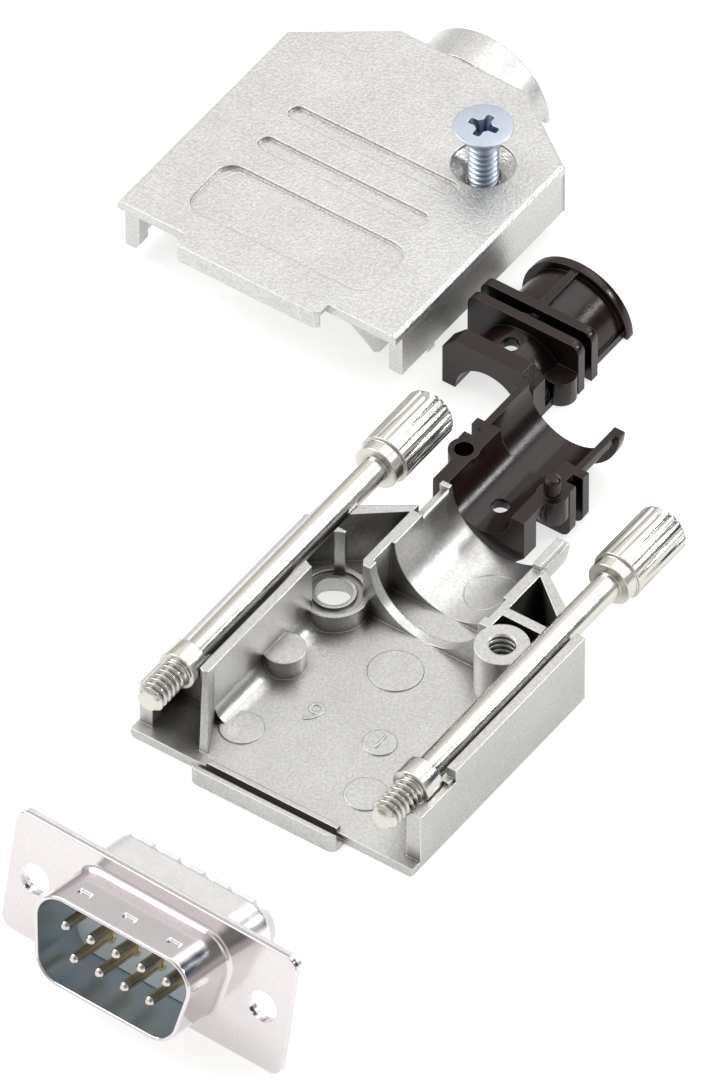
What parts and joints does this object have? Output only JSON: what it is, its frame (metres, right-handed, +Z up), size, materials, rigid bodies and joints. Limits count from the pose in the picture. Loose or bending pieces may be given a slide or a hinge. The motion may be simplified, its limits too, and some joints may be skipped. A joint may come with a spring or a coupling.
{
  "type": "d-sub connector kit",
  "caption": "Cable connector kit laid out: two-part cast hood, long thumb jackscrews, countersunk screws, split cable clamp and a solder-cup plug connector.",
  "frame": {"origin": "middle of the lower hood half's front edge on its outer face, which lies on the table", "axes": "+X to the right, +Y from the mating face towards the cable outlet, +Z up"},
  "size_m": [0.0697, 0.1147, 0.0127],
  "materials": {
    "hood": "satin nickel plate on a zinc casting",
    "jackscrew": "bright nickel plate on turned steel",
    "hood_screw": "blue zinc plate",
    "clamp": "moulded, semi-matt",
    "connector_shell": "bright tin plate on drawn steel",
    "front_insulator": "moulded, semi-matt",
    "rear_insulator": "moulded, semi-matt",
    "contact": "gold flash, bright tip"
  },
  "bodies": {
    "root": {"lower_shell": "hood", "upper_shell": "hood", "cover_screw": "hood_screw", "second_cover_screw": "hood_screw", "clamp_upper_half": "clamp", "clamp_lower_half": "clamp", "connector_front_shell": "connector_shell", "connector_rear_shell": "connector_shell", "front_insulator": "front_insulator", "rear_insulator": "rear_insulator", "contact_1": "contact", "contact_2": "contact", "contact_3": "contact", "contact_4": "contact", "contact_5": "contact", "contact_6": "contact", "contact_7": "contact", "contact_8": "contact", "contact_9": "contact"},
    "left_jackscrew": {"left_jackscrew": "jackscrew"},
    "right_jackscrew": {"right_jackscrew": "jackscrew"}
  },
  "joints": [
    {"name": "left_jackscrew_turn", "type": "hinge", "parent": "root", "child": "left_jackscrew", "pos_m": [-0.01249, 0.02, 0.00685], "axis": [0, 1, 0], "continuous": true},
    {"name": "right_jackscrew_turn", "type": "hinge", "parent": "root", "child": "right_jackscrew", "pos_m": [0.01249, 0.02, 0.00685], "axis": [0, 1, 0], "continuous": true}
  ]
}
